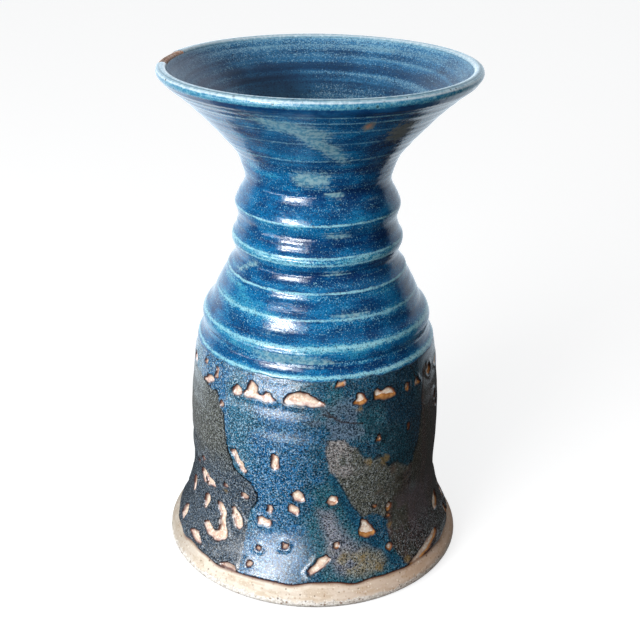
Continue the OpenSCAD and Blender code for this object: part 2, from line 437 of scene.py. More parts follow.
def hand(turn, height):
    """How far the outside stands from a true turned form."""
    oval = 0.10 * np.cos(np.radians(2 * (turn - 35)))
    three_sided = 0.06 * np.cos(np.radians(3 * turn + 50))
    out = oval + three_sided
    level = height + drift(turn, height)
    for z, rise, width in FINGER_LINES:
        patchy = 0.75 + 0.25 * wander(turn, 0, int(z * 10), 70, 1)
        strength = 0.5 if z > 190 else 0.9
        out = out + strength * rise * patchy * bump(level, z, width)
    above = smooth(height, 112, 118)
    out = out + above * 0.035 * wander(turn, height, 32, 300, 2.2, 26)
    return out + (1 - above) * 0.06 * wander(turn, height, 33, 120, 9, 18)


def hollow(height):
    """How deep the outside lies between the ridges above and below, in mm."""
    reach = 6.5
    radius = [skin.at(skin.outside(height + d))[0] for d in (-reach, 0, reach)]
    return (radius[0] + radius[2]) / 2 - radius[1]


def grid(columns, lengths):
    """Degrees round and lengths along the skin on a grid, rows first."""
    turns = np.linspace(-180, 180, columns, endpoint=False)
    return np.meshgrid(turns, lengths)[0], np.repeat(np.asarray(lengths)[:, None], columns, 1)


def place(turn, s, lift):
    """Points of the pot at a lift off the clay, as x, y, z in mm. The rim sinks a little to the left."""
    r, z, nr, nz = skin.at(s)
    a = np.radians(turn)
    dip = smooth(z, 200, 244) * (0.45 * np.sin(a) - 0.45)
    r = r + nr * lift
    z = z + nz * lift + dip
    return np.stack([r * np.sin(a), -r * np.cos(a), z], -1)


def add(name, data):
    """A new object in the scene."""
    made = bpy.data.objects.new(name, data)
    bpy.context.scene.collection.objects.link(made)
    return made


def sheet(name, points, keep=None, fields=None):
    """A mesh from a grid of points that closes round the pot, with its own UV map.
    keep says which cells stay; fields are named values at the points."""
    rows, columns = points.shape[:2]
    index = np.arange(rows * columns).reshape(rows, columns)
    after = np.roll(index, -1, axis=1)
    quads = np.stack([index[:-1], after[:-1], after[1:], index[1:]], -1)
    j, i = np.meshgrid(np.arange(columns), np.arange(rows - 1))
    corners = [(0, 0), (1, 0), (1, 1), (0, 1)]
    uv = np.stack([np.stack([(j + a) / columns, (i + b) / (rows - 1)], -1) for a, b in corners], 2)
    if keep is None:
        keep = np.ones((rows - 1, columns), bool)
    quads, uv = quads[keep], uv[keep]
    used, quads = np.unique(quads, return_inverse=True)
    quads = quads.reshape(-1, 4)
    mesh = bpy.data.meshes.new(name)
    mesh.vertices.add(len(used))
    mesh.vertices.foreach_set("co", (points.reshape(-1, 3)[used] * MM).astype(np.float32).ravel())
    mesh.loops.add(quads.size)
    mesh.loops.foreach_set("vertex_index", quads.astype(np.int32).ravel())
    mesh.polygons.add(len(quads))
    mesh.polygons.foreach_set("loop_start", np.arange(0, quads.size, 4, dtype=np.int32))
    layer = mesh.uv_layers.new(name="OFBake")
    layer.data.foreach_set("uv", uv.astype(np.float32).ravel())
    for field, values in (fields or {}).items():
        made = mesh.attributes.new(field, "FLOAT", "POINT")
        made.data.foreach_set("value", values.reshape(-1)[used].astype(np.float32))
    mesh.update(calc_edges=True)
    mesh.polygons.foreach_set("use_smooth", np.ones(len(quads), bool))
    piece = add(name, mesh)
    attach(piece, "root")
    return piece


def settle(turn, s, sharpness):
    """Moves the grid's points that lie next to an edge of bare clay on to it, so the edge is clean."""
    bare = crawl(turn, s)[0]
    radius = skin.at(s)[0]
    step_s = np.gradient(s, axis=0)
    step_x = math.radians(360 / turn.shape[1]) * radius
    around = np.gradient(np.concatenate([bare[:, -1:], bare, bare[:, :1]], 1), axis=1)[:, 1:-1] / step_x
    along = np.gradient(bare, axis=0) / step_s
    steep = np.maximum(around**2 + along**2, 0.3)
    near = np.abs(bare) < sharpness
    move = np.where(near, bare, 0) / steep
    return turn - np.degrees(move * around / radius), s - move * along


def lower_glaze():
    """The dark glaze, with the clay bare where it crawled."""
    columns, step = ((640, 0.76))
    low = skin.outside(BARE_TOP - 1.9)
    high = skin.outside(GLAZE_LINE + 3)
    turn, s = settle(*grid(columns, np.arange(low, high, step)), 0.34)
    bare, full, edge = crawl(turn, s)
    # an even coat, thicker in a bead round each patch and rounded off at its edge
    body = 0.52 + 0.05 * wander(turn, s, 41, 30, 30)
    bead = 0.42 * smooth(edge, -0.2, 0.8) * (1 - smooth(edge, 0.8, 3.2))
    curve = rounded(full)
    lift = np.where(full < 0, np.maximum(full * 0.9, -0.55), (body + bead) * curve)
    pours = {name: pour(outline, turn, s) for name, outline in
             (("left", LEFT_POUR), ("right", RIGHT_POUR), ("low", LOW_POUR), ("back", BACK_POUR))}
    thick_pour = np.min([pours["left"], pours["right"], pours["back"]], axis=0)
    lift = lift + 0.12 * (1 - smooth(thick_pour, -1.2, 0.4)) * curve
    lift = lift + hand(turn, skin.at(s)[1])
    strayed = turn + 0.3 * wander(turn, s, 13, 4, 4)
    crack = np.min([near_line(line, strayed, s) for line in CRACKS], axis=0)
    amber = np.full(turn.shape, FAR)
    for t0, z0, r0 in AMBER_SPOTS:
        away = np.hypot(turn_to_mm(turn, t0, radius_at(z0)), s - skin.outside(z0))
        amber = np.minimum(amber, away - r0)
    # which side of a patch lies above it, kept for the painted shade under a patch's upper edge
    upward = np.gradient(edge, axis=0) / np.gradient(s, axis=0)
    # cells on bare clay are left out
    keep = bare > -0.5
    keep = keep[:-1] | keep[1:]
    keep = keep | np.roll(keep, -1, axis=1)
    return sheet("lower_glaze_coat", place(turn, s, lift), keep, {
        "edge": edge, "full": full, "crack": crack, "amber": amber, "side": side(turn),
        "stream": near_line(STREAM, turn, s), "topside": smooth(upward, -0.75, 0.2), **pours})


def smudges(rows, turn, height, power):
    """Soft marks on the outside, added up. The power says how squarely they end to the sides."""
    total = np.zeros(turn.shape)
    for t0, z0, wide, tall, lean, strong in rows:
        x = turn_to_mm(turn, t0, radius_at(z0))
        total = total + strong * np.exp(-(x / wide) ** power - ((height - z0 - lean * x) / tall) ** 2)
    return total


def upper_glaze():
    """The blue glaze on the shoulder, neck and mouth, and over the lip."""
    columns, step = ((360, 0.74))
    low = skin.outside(GLAZE_LINE - 2.2)
    lip = skin.s[skin.top] - 8
    rows = rows_between([(low, lip, step), (lip, LIP_END, step / 2)])
    turn, s = grid(columns, np.append(rows, [LIP_END, LIP_END + 0.5]))
    height = skin.at(s)[1]
    outside = 1 - smooth(s, skin.s[skin.top] - 1, skin.s[skin.top] + 2)
    # the coat starts in a thick rounded roll at the glaze line
    start_z = GLAZE_LINE + 0.45 * wander(turn, 0, 51, 45, 1) + 0.2 * wander(turn, 0, 52, 10, 1)
    above = s - skin.outside(start_z)
    coat = 0.5 + 0.03 * wander(turn, s, 53, 60, 14)
    roll = -0.25 + 1.2 * rounded(above / 1.3 + 0.4)
    lift = np.where(above < 6, roll + (coat - roll) * smooth(above, 1.0, 6.0), coat)
    lift = lift + hand(turn, height) * outside
    # the flat top of the lip: a groove between two low beads
    over = s - skin.s[skin.top]
    lift = lift - 0.16 * bump(over, -0.6, 0.45) + 0.1 * bump(over, -1.9, 0.5) + 0.1 * bump(over, 1.7, 0.5)
    last = s > LIP_END + 0.1
    lift = np.where(last, 0.05, lift)
    level = height + drift(turn, height)
    crest = np.zeros(turn.shape)
    for z, strong, width in PALE_RINGS:
        patchy = 0.8 + 0.25 * wander(turn, 0, int(z * 10) + 1, 60, 1)
        crest = crest + strong * patchy * bump(level, z, width) * outside
    # pale streaks, with one painted reflection of the window among them
    pale = smudges(PALE_STREAKS_AND_REFLECTION, turn, height, 4)
    rust = smudges(RUST, turn, height, 2)
    worn = WORN_RIM[1] - np.abs(turn_to_mm(turn, WORN_RIM[0], 71)) + 1.2 * wander(turn, s, 56, 6, 5)
    worn = smooth(worn, -1, 1.5) * smooth(over, -2.6, -1.6)
    lift = lift - worn * np.where(last, 0, 0.55)
    return sheet("upper_glaze_coat", place(turn, s, lift), None, {
        "side": side(turn), "above": above, "crest": crest, "pale": pale * outside, "rust": rust * outside,
        "worn": worn, "over": over, "hollow": hollow(height) * outside, "level": level * outside})


def lining(name, start, stop, columns, step):
    """A stretch of the glaze inside."""
    turn, s = grid(columns, np.linspace(start, stop, int((stop - start) / step)))
    height = skin.at(s)[1]
    rings = 0.10 * wander(turn, s, 61, 400, 5, 22) + 0.03 * wander(turn, s, 62, 400, 1.6, 22)
    fade = smooth(s, LIP_END, LIP_END + 4) * smooth(skin.end - s, 0, 6)
    lift = 0.5 + rings * fade
    crest = 0.8 * bump(s, LIP_END, 1.2) + 0.5 * bump(height, 236, 0.8) + 0.4 * bump(height, 227, 0.9)
    # painted shade: a darker place with fewer flecks inside the mouth at the back left, under the lip
    from_painted_shade = np.abs(turn_to_mm(turn, -152, 60))
    calm = (1 - smooth(from_painted_shade, 8, 32)) * smooth(height, 238, 222)
    greyed = 1 - smooth(np.abs(turn_to_mm(turn, -92, 60)), 12, 46)
    return sheet(name, place(turn, s, lift), None, {"crest": crest, "calm": calm, "grey": greyed})


def rows_between(stops):
    """Lengths from each (start, stop, step), in one list."""
    return np.concatenate([np.arange(a, b, step) for a, b, step in stops])


def lower_clay():
    """The foot and lower body of the clay, closed under the floor and at the glaze line."""
    columns = 640
    bend = skin.outside(12)
    turn, s = grid(columns, rows_between([(0, bend, 0.45), (bend, skin.outside(GLAZE_LINE), 1.35)]))
    outer = place(turn, s, hand(turn, skin.at(s)[1]))
    # from the centre of the underside out to the bottom edge of the foot
    foot = outer[0, :, :2]
    flat = np.zeros((columns, 1))
    under = [np.concatenate([foot * share, flat], 1) for share in np.linspace(0.02, 0.985, 14)]
    # across the cut wall, then down the inside to the floor
    lengths = np.append(np.arange(skin.inside(GLAZE_LINE), skin.end, 4.0), skin.end)
    inner = place(*grid(columns, lengths), 0.0)

    def through(values, before, after):
        """Values for every row, with one value under the foot and one inside."""
        return np.concatenate([
            np.full((len(under), columns), before), values, np.full((len(lengths), columns), after)], 0)

    return sheet("clay_foot_and_wall", np.concatenate([under, outer, inner], 0), None, {
        "side": through(side(turn), 0.0, 0.0), "edge": through(crawl(turn, s)[2], -FAR, FAR)})


def upper_clay():
    """The shoulder, neck and mouth of the clay, under the glaze except at the worn rim."""
    out = skin.outside(GLAZE_LINE)
    inn = skin.inside(GLAZE_LINE)
    turn, s = grid(240, np.append(np.arange(out, inn, 1.6), [inn, out]))
    points = place(turn, s, np.where(s < skin.s[skin.top], hand(turn, skin.at(s)[1]), 0.0) - 0.02)
    points[-1] = points[0]
    return sheet("clay_neck_and_mouth", points)


# ---------------------------------------------------------------- materials

def paint(hexed):
    """A colour from its usual six digits, in the linear values that shaders take.
    Anything else stays as it is."""
    if not isinstance(hexed, str):
        return hexed
    parts = [int(hexed[i:i + 2], 16) / 255 for i in (0, 2, 4)]
    return (*(p / 12.92 if p <= 0.04045 else ((p + 0.055) / 1.055) ** 2.4 for p in parts), 1.0)


class Value:
    """What a node gives out. Sums and products of values become math nodes."""

    def __init__(self, nodes, socket):
        self.nodes = nodes
        self.socket = socket

    def __add__(self, other):
        return self.nodes.calc("ADD", self, other)

    def __radd__(self, other):
        return self.nodes.calc("ADD", other, self)

    def __sub__(self, other):
        return self.nodes.calc("SUBTRACT", self, other)

    def __rsub__(self, other):
        return self.nodes.calc("SUBTRACT", other, self)

    def __mul__(self, other):
        return self.nodes.calc("MULTIPLY", self, other)

    def __abs__(self):
        return self.nodes.calc("ABSOLUTE", self)


class Nodes:
    """A node tree under construction, with short names for the nodes it uses."""

    def __init__(self, tree):
        self.tree = tree

    def node(self, kind, *values, **settings):
        """A new node, with its first inputs linked or set to the values."""
        made = self.tree.nodes.new(kind)
        for key, value in settings.items():
            setattr(made, key, value)
        for socket, value in zip(made.inputs, values, strict=False):
            self.put(socket, value)
        return made

    def out(self, node, which=0):
        """One of a node's outputs, by number or name."""
        return Value(self, node.outputs[which])

    def put(self, socket, value):
        """Links a value to a socket, or sets the socket to a number or a colour."""
        if isinstance(value, Value):
            self.tree.links.new(value.socket, socket)
        else:
            socket.default_value = paint(value)

    def calc(self, operation, *values):
        return self.out(self.node("ShaderNodeMath", *values, operation=operation))

    def step(self, value, low, high, first=0.0, last=1.0):
        """The first number at low, the last at high, smooth between."""
        return self.out(self.node(
            "ShaderNodeMapRange", value, low, high, first, last, interpolation_type="SMOOTHSTEP"))

    def mix(self, a, b, share):
        """Colour a, with a share of colour b over it."""
        made = self.node("ShaderNodeMix", data_type="RGBA")
        self.put(made.inputs["Factor"], share)
        self.put(made.inputs[6], a)
        self.put(made.inputs[7], b)
        return self.out(made, 2)

    def ramp(self, value, stops):
        """A run of colours, each at its place from 0 to 1."""
        made = self.node("ShaderNodeValToRGB", value)
        elements = made.color_ramp.elements
        while len(elements) < len(stops):
            elements.new(0.5)
        for element, (at, colour) in zip(elements, stops, strict=True):
            element.position = at
            element.color = paint(colour)
        return self.out(made)


class Surface(Nodes):
    """A material under construction."""

    def __init__(self, name, roughness, specular):
        self.material = bpy.data.materials.new(name)
        self.material.use_nodes = True
        super().__init__(self.material.node_tree)
        self.shader = self.tree.nodes["Principled BSDF"].inputs
        self.shader["Roughness"].default_value = roughness
        self.shader["Specular IOR Level"].default_value = specular
        self.where = self.out(self.node("ShaderNodeTexCoord"), "Object")
        self.colour = None

    def field(self, name):
        """A value stored on the mesh."""
        return self.out(self.node("ShaderNodeAttribute", attribute_name=name), "Fac")

    def height(self):
        """Millimetres up from the table."""
        return self.out(self.node("ShaderNodeSeparateXYZ", self.where), "Z") * 1000.0

    def stretched(self, flat, tall):
        """Coordinates in mm, divided so that a pattern is flat wide and tall high."""
        sizes = (1000 / flat, 1000 / flat, 1000 / tall)
        return self.out(self.node("ShaderNodeVectorMath", self.where, sizes, operation="MULTIPLY"))

    def noise(self, flat, tall=None, detail=2.0, rough=0.5):
        """A cloudy pattern, with shapes about so many mm wide and tall."""
        made = self.node("ShaderNodeTexNoise", self.stretched(flat, tall or flat))
        made.inputs["Scale"].default_value = 1.0
        made.inputs["Detail"].default_value = detail
        made.inputs["Roughness"].default_value = rough
        return self.out(made)

    def specks(self, apart, size, share):
        """Round specks: how many mm apart, how big, and the share of places that have one."""
        made = self.node("ShaderNodeTexVoronoi", self.stretched(apart, apart))
        made.inputs["Scale"].default_value = 1.0
        split = self.node("ShaderNodeSeparateColor", self.out(made, "Color"))
        reach = self.out(split, 0) * (size / apart)
        chosen = self.calc("LESS_THAN", self.out(split, 1), share)
        return self.step(self.out(made, "Distance"), reach, reach * 0.5) * chosen

    def blend(self, a, b, value, low, high):
        """Colour a where the value is low, colour b where it is high."""
        return self.mix(a, b, self.step(value, low, high))

    def band(self, value, low, high, soft):
        """1 between low and high, 0 outside them."""
        return self.step(value, low - soft, low + soft) * self.step(value, high + soft, high - soft)

    def around(self, value, centre, near, far):
        """1 within near of a centre, 0 beyond far."""
        return self.step(abs(value - centre), far, near)

    def lay(self, colour, share):
        """Lays a share of a colour over the surface's colour so far."""
        self.colour = self.mix(self.colour, colour, share)

    def finish(self, roughness, relief, depth):
        """Joins the colour, the roughness and a relief of so many mm to the shader."""
        self.put(self.shader["Base Color"], self.colour)
        if roughness is not None:
            self.put(self.shader["Roughness"], roughness)
        made = self.node("ShaderNodeBump")
        made.inputs["Strength"].default_value = 1.0
        made.inputs["Distance"].default_value = depth * MM
        self.put(made.inputs["Height"], relief)
        self.put(self.shader["Normal"], self.out(made))
        return self.material


def bare_clay():
    """Coarse pale stoneware: peach where it shows through the glaze, sandy at the foot."""
    m = Surface("bare_clay", 0.85, 0.3)
    z = m.height()
    foot = m.step(z, 13.5, 11.0)
    patch = m.blend("e2cdb8", "cba690", m.noise(3.5), 0.44, 0.68)
    patch = m.mix(patch, "f0e6d8", m.step(m.noise(1.4), 0.46, 0.62))
    sand = m.blend("ddd2c3", "cdbda8", m.noise(14, 2), 0.42, 0.62)
    sand = m.mix(sand, "e8e0d4", m.step(m.noise(5, 1.6), 0.5, 0.64) * 0.6)
    warm = m.step(m.field("side"), -26, 54)
    sand = m.mix(sand, "b48c70", warm * 0.62)
    # painted shade: the foot is laid darker and greyer round to the far left
    sand = m.mix(sand, "9c9388", m.step(m.field("side"), -44, -68) * 0.5)
    # the bevel under the ring is rough: pale grains, and dark pits between them
    ragged = z + (m.noise(3.0, detail=3) - 0.5) * 5.0
    bevel = m.step(ragged, 5.6, 4.6)
    gravel = m.blend("cfc8be", "f0ede8", m.noise(1.2, detail=3, rough=0.7), 0.4, 0.58)
    gravel = m.mix(gravel, "b39a86", warm * 0.45)
    gravel = m.mix(gravel, "5d5248", m.specks(1.3, 0.9, 0.45) * 0.75)
    gravel = m.mix(gravel, "f4f1ec", m.specks(1.7, 0.9, 0.45) * 0.8)
    sand = m.mix(sand, gravel, bevel)
    m.colour = m.mix(patch, sand, foot)
    m.lay("9d7550", m.specks(1.3, 0.75, 0.5) * 0.45)
    m.lay("efe8da", m.specks(1.1, 0.6, 0.4) * 0.6)
    m.lay("5e4634", m.specks(2.3, 0.8, 0.35) * 0.75)
    stain = m.step(m.field("edge"), -1.2, 0.0) * m.step(m.field("edge"), 0.6, 0.1)
    m.lay("6a3f2c", stain * 0.7)
    relief = m.noise(0.9, detail=3) - m.specks(1.6, 0.9, 0.5) * 0.6
    relief = relief + bevel * m.noise(1.0, detail=3, rough=0.7) * 2.4
    return m.finish(None, relief, 0.24)


def dark_glaze():
    """The lower glaze: speckled blue over black, with poured glazes and crawled edges."""
    m = Surface("dark_glaze", 0.3, 0.5)
    z = m.height()
    turn = m.field("side")
    fine = m.noise(0.7, detail=3, rough=0.65)
    small = m.noise(1.5)
    cloud = m.noise(7, detail=3)
    wide = m.noise(26, 34)
    grit = m.noise(0.85, detail=3, rough=0.75)
    dark = m.step(grit, 0.48, 0.53)
    light = m.step(m.noise(0.78, detail=3, rough=0.75), 0.55, 0.59)
    strayed = turn + (cloud - 0.5) * 50
    # brighter blue to the left and deeper teal to the right: partly the glaze's own colour, partly a painted
    # sheen of the window on the left
    blue = m.blend("1c5a8a", "2f74a4", small + cloud * 0.5, 0.6, 0.9)
    deep = m.blend("184a68", "255c78", small, 0.4, 0.62)
    teal = m.mix(blue, deep, m.step(strayed, -14, 6))
    teal = m.mix(teal, "2f6a6e", m.step(wide, 0.48, 0.62) * 0.45)
    veil = m.around(strayed, 11, 3, 10) * m.around(z, 95, 7, 13)
    teal = m.mix(teal, "6b7789", veil * 0.6)
    teal = m.mix(teal, "04141f", dark * 0.9)
    # painted sheen: the pale flecks are laid on more strongly towards the front left, where the window's
    # gloss falls
    ahead = m.step(turn, 8, -26)
    teal = m.mix(teal, "b4d4e6", light * (0.24 + ahead * 0.42))
    navy = m.step(strayed, 14, 36) * m.step(z, 52, 66)
    teal = m.mix(teal, "17252f", navy * 0.6)
    # the pours
    olive = m.blend("4a4d48", "666963", small, 0.35, 0.65)
    slate = m.blend("2a3a4a", "55677a", fine, 0.42, 0.62)
    left = m.mix(slate, olive, m.step(z + cloud * 18, 62, 80))
    taupe = m.blend("7c7878", "9b9592", small, 0.4, 0.65)
    moss = m.blend("494c45", "65655a", small, 0.35, 0.65)
    brown = m.blend("372c28", "584840", small, 0.35, 0.65)
    brown = m.mix(brown, "3a3d30", m.step(m.noise(7, 50), 0.44, 0.6) * 0.65)
    sheen = m.around(strayed, 54, 6, 16) * m.around(z, 34, 8, 18)
    brown = m.mix(brown, "6f626a", sheen * 0.4)
    lean = strayed + (80.0 - z) * 0.45
    right = m.mix(taupe, moss, m.step(lean, 13, 24))
    right = m.mix(right, brown, m.step(strayed + z * -0.12, 22, 42))
    lilac = m.blend("5a6578", "93939e", fine + cloud * 0.4, 0.58, 0.82)
    lilac = m.mix(lilac, "8a7f5c", m.step(strayed, 9, 18) * m.step(z, 30, 22) * 0.75)
    back = m.blend("53626b", "858988", fine + cloud * 0.5, 0.6, 0.9)
    m.colour = teal
    smoky = m.step(strayed, 26, 44)
    calm = smoky * m.step(z, 24, 34) * -0.6 + 0.85
    # each one's colour, how soft its edge is, how speckled it is, and how dark the line along its edge
    pours = (("low", lilac, 3.0, 0.9, 0.0), ("left", left, 0.3, 0.9, 1.0), ("right", right, 0.9, calm, 0.6),
             ("back", back, 0.5, 0.8, 0.6))
    for name, tone, soft, mottle, line in pours:
        d = m.field(name) + (small - 0.5) * 2.4
        inside = m.step(d, soft, -soft)
        tone = m.mix(tone, "101417", dark * mottle)
        tone = m.mix(tone, "c4cdd2", light * mottle * 0.5)
        m.lay(tone, inside)
        near = m.step(abs(d - 0.35), 0.85, 0.25)
        broken = m.step(m.noise(9, detail=3), 0.4, 0.52) * (0.25 + m.step(z, 34, 50) * 0.75)
        m.lay("07090c", near * broken * line)
    stream = m.step(m.field("stream") + small * 3.0, 4.6, 2.2)
    run = m.mix(m.mix("144a68", "2f7490", light), "061c2b", dark * 0.8)
    m.lay(run, stream * 0.7)
    # thin and crawled places
    warm = m.step(turn, 2, 14)
    amber = m.blend("c6a396", "e8d6cc", m.noise(2.4), 0.4, 0.62)
    amber = m.mix(amber, m.blend("a0693a", "c28a52", m.noise(2.4), 0.4, 0.62), warm)
    spots = m.step(m.field("amber") + m.noise(1.8, detail=3) * 5.0, 3.4, 1.0)
    m.lay("8b7240", spots * 0.75 * (1.0 - dark * 0.6))
    m.lay("2a1c14", m.step(m.field("crack"), 0.7, 0.2) * 0.75)
    # a dark line round each crawled patch: partly the glaze's own dark edge, partly painted shade under the
    # patch's overhanging upper edge, so it is laid darker above a patch than below it
    ring = m.step(m.field("edge") + (small + fine) * 1.3, 2.9, 1.6)
    upper = 0.35 + m.field("topside") * 0.6
    m.lay("0c0707", ring * upper)
    inside = m.step(m.field("edge"), 0.35, -0.1)
    thin = m.step(m.field("full"), 1.0, 0.35)
    m.lay(amber, inside * thin)
    lip = m.around(m.field("edge"), 0.25, 0.15, 0.6) * thin
    m.lay("5a3226", lip * 0.7)
    rough = 0.12 + small * 0.16 - inside * thin * 0.08
    relief = small * 0.7 + fine * 0.4 + grit * 0.5
    return m.finish(rough, relief, 0.11)


def blue_glaze():
    """The upper glaze: deep blue where it lies thickest, pale where it broke over the ridges, and darker to
    the right with painted shade.
    """
    m = Surface("blue_glaze", 0.2, 0.5)
    fine = m.noise(0.62, rough=0.6)
    grain = m.noise(0.75, 0.62, detail=3, rough=0.75)
    small = m.noise(1.6)
    cloud = m.noise(12, 5, detail=3)
    lines = m.noise(70, 1.1)
    broad = m.noise(120, 4)
    shade = cloud * 0.85 + lines * 0.26 + broad * 0.22 + grain * 0.34 - 0.585
    # pale rings and lines on the ridges, deeper blue between them; painted shade makes the blue darker to the
    # right and lighter to the left
    broken = 0.35 + m.step(m.noise(2.6, 1.0, detail=4, rough=0.6), 0.36, 0.62) * 0.75
    crest = m.field("crest") * broken
    level = m.field("level") + (m.noise(5, 1.5) - 0.5) * 0.9
    line = 0.0
    for centre, strong, half in PALE_LINES:
        line = m.calc("MAXIMUM", line, m.around(level, centre, 0.12, half + 0.2) * strong)
    line = line * (0.45 + m.step(m.noise(4, 2), 0.38, 0.54) * 0.65)
    # painted shade, weighted from the left to the right
    painted_shade_right = m.step(m.field("side"), -34, 16)
    shade = shade + crest * 0.55 - m.field("hollow") * 0.035 + (painted_shade_right * -0.06 + 0.05)
    m.colour = m.ramp(shade, [
        (0.0, "06264f"), (0.2, "084475"), (0.4, "0f6a9e"), (0.58, "348eb0"), (0.76, "78b2c2"),
        (1.0, "c4dcdc")])
    # navy in the hollows between the ridges, where the glaze pools, laid on more heavily to the right as
    # painted shade
    navy = m.step(m.field("hollow"), 0.4, 2.4) * m.step(m.noise(8, 4, detail=3), 0.38, 0.56)
    m.lay("132f60", navy * (painted_shade_right * 0.4 + 0.15))
    m.lay("9ad0dc", line * 0.85)
    flecks = m.step(fine + (crest + line) * 0.3, 0.61, 0.69)
    m.lay("90ccdc", flecks * 0.62)
    dark = m.step(grain, 0.47, 0.39)
    m.lay("06224a", dark * 0.75)
    # brushed pale streaks, with a painted reflection of the window among them on the shoulder
    brushed = m.noise(40, 0.9) + (small + grain) * 0.5 - 1.0
    pale = m.step(brushed * 1.5 + m.field("pale"), 0.2, 0.85)
    m.lay(m.blend("5b93a8", "92b6be", small, 0.4, 0.6), pale * 0.78)
    rust = m.field("rust") + (small - 0.5) * 0.6
    browned = m.blend("7b817d", "b98a70", rust, 0.62, 1.0)
    m.lay(browned, m.step(rust, 0.25, 0.5) * (1.0 - dark * 0.5))
    # over the lip: a deep band, a mottled shoulder, then the pale flat top with its groove; the flat top is
    # pale partly from its thin glaze and partly as painted light from above
    past_top = m.field("over")
    over = past_top + (small - 0.5) * 1.4
    deep = m.blend("062c58", "0b4678", cloud, 0.4, 0.6)
    m.lay(deep, m.band(over, -10.4, -4.4, 0.5) * 0.85)
    shoulder = m.blend("2a769c", "6fa9bb", fine + small * 0.6, 0.68, 0.98)
    m.lay(shoulder, m.band(over, -4.3, 9.0, 0.5) * 0.9)
    top = m.blend("7ca6bc", "b4d0dc", lines + small, 0.85, 1.15)
    m.lay(top, m.step(over, -2.6, -1.7) * 0.92)
    m.lay("3f6c80", m.around(past_top, -0.6, 0.15, 0.5) * 0.75)
    # painted highlights: white lines along the inner and outer edges of the flat top
    m.lay("dfe9ee", m.around(past_top, 1.5, 0.2, 0.6) * 0.5)
    m.lay("dfe9ee", m.around(past_top, -1.9, 0.15, 0.5) * 0.4)
    # painted shade: a dark line at the inner edge of the lip, where the glaze ends inside
    m.lay("0e1c26", m.step(past_top, 2.3, 2.8))
    pits = m.specks(2.6, 1.0, 0.45) * m.band(over, -4.3, -0.5, 0.4)
    m.lay("143846", pits * 0.85)
    m.lay("23303a", m.specks(3.4, 0.9, 0.15) * 0.5)
    end = m.step(m.field("above"), 0.7, -0.5)
    m.lay("6e6a5c", end * 0.6)
    worn = m.step(m.field("worn") + (small - 0.5) * 0.8, 0.35, 0.55)
    clay = m.blend("bd8a70", "dcc2b2", m.noise(2.0), 0.42, 0.6)
    m.lay(clay, worn)
    rough = 0.08 + small * 0.12 + worn * 0.6
    relief = lines * 0.4 + m.noise(3.2, 1.8, detail=3) * 0.9 + m.noise(1.0) * 0.5 - pits * 0.8
    return m.finish(rough, relief, 0.12)


def lining_glaze():
    """The satin glaze inside: slate blue with pale flecks and soft rings."""
    m = Surface("lining", 0.42, 0.45)
    fine = m.noise(0.75, detail=3, rough=0.65)
    grain = m.noise(0.9, 0.7, detail=3, rough=0.75)
    small = m.noise(2.2)
    cloud = m.noise(16, 9, detail=3)
    rings = m.noise(160, 2.6, detail=3)
    shade = cloud * 0.55 + rings + grain * 0.45 - 0.6 + m.field("crest") * 0.35
    m.colour = m.ramp(shade, [
        (0.0, "0c2844"), (0.3, "15466f"), (0.5, "286a96"), (0.75, "5890b0"), (1.0, "acccdc")])
    # dense pale flecks along the rings, held back where painted shade darkens the inside of the mouth at the
    # back left
    calm = m.field("calm")
    dense = fine + rings * 0.45 - calm * 0.2
    m.lay("92bccf", m.step(dense, 0.76, 0.85) * 0.66)
    # painted shade inside the mouth at the back left
    m.lay("1a3048", calm * 0.5)
    m.lay("8c93ab", m.field("grey") * 0.4)
    m.lay("0c2238", m.step(grain, 0.45, 0.38) * 0.62)
    rough = 0.3 + small * 0.2
    return m.finish(rough, small + fine * 0.6, 0.08)


# ---------------------------------------------------------------- studio

# How bright the room looks in the gloss: (degrees from the front, to the right, brightness)
ROOM = [
    (-180, 1.9), (-174, 1.6), (-168, 1.4), (-124, 1.4), (-113, 0.3), (-104, 0.1), (-60, 0.06), (0, 0.03),
    (50, 0.02), (115, 0.01), (120, 0.7), (138, 0.95), (168, 0.95), (174, 1.5), (180, 1.9),
]
# The same straight up, and straight down where the pot stands in its own shade
CEILING, UNDERFOOT = 0.24, 0.04
SKY_TINT = (0.87, 1.01, 1.13)
# The even light on everything, from below and from above, and the backdrop beyond the floor
FILL = (0.05, 0.42)
BACKDROP = 1.0
# The light of the window and of its bright middle: (name, degrees to the right of the front, degrees
# up, how far away, how wide and how tall in m, and power in W)
WINDOWS = [
    ("window", -34, 15, 1.25, 0.95, 0.5, 9.6),
    ("window_middle", -36, 14, 1.24, 0.54, 0.2, 11.5),
]
# The shaded table close round the back of the pot, as its gloss shows it:
# (name, from and to in degrees, inner and outer radius in m, brightness)
SHADES = [
    ("shade_right", 88, 180, 0.08, 0.27, 0.07),
    ("shade_left", 180, 272, 0.135, 0.222, 0.33),
    ("shade_close", 180, 272, 0.07, 0.134, 0.05),
]
# Low lit cards in front, seen only in the gloss of the flared foot: how brightly each glows, the
# degrees where the first one starts, the degrees each one takes, and where they stand in m
CARD_GLOWS = (6, 6, 6, 6, 11, 11, 15, 24, 30, 30, 26, 18, 12)
CARDS_FROM, CARD_TURN = -84, 6
CARD_AWAY, CARD_LOW, CARD_HIGH = 0.8, -0.035, 0.075


def grey(bright):
    """A colour without a hue."""
    return (bright, bright, bright, 1.0)


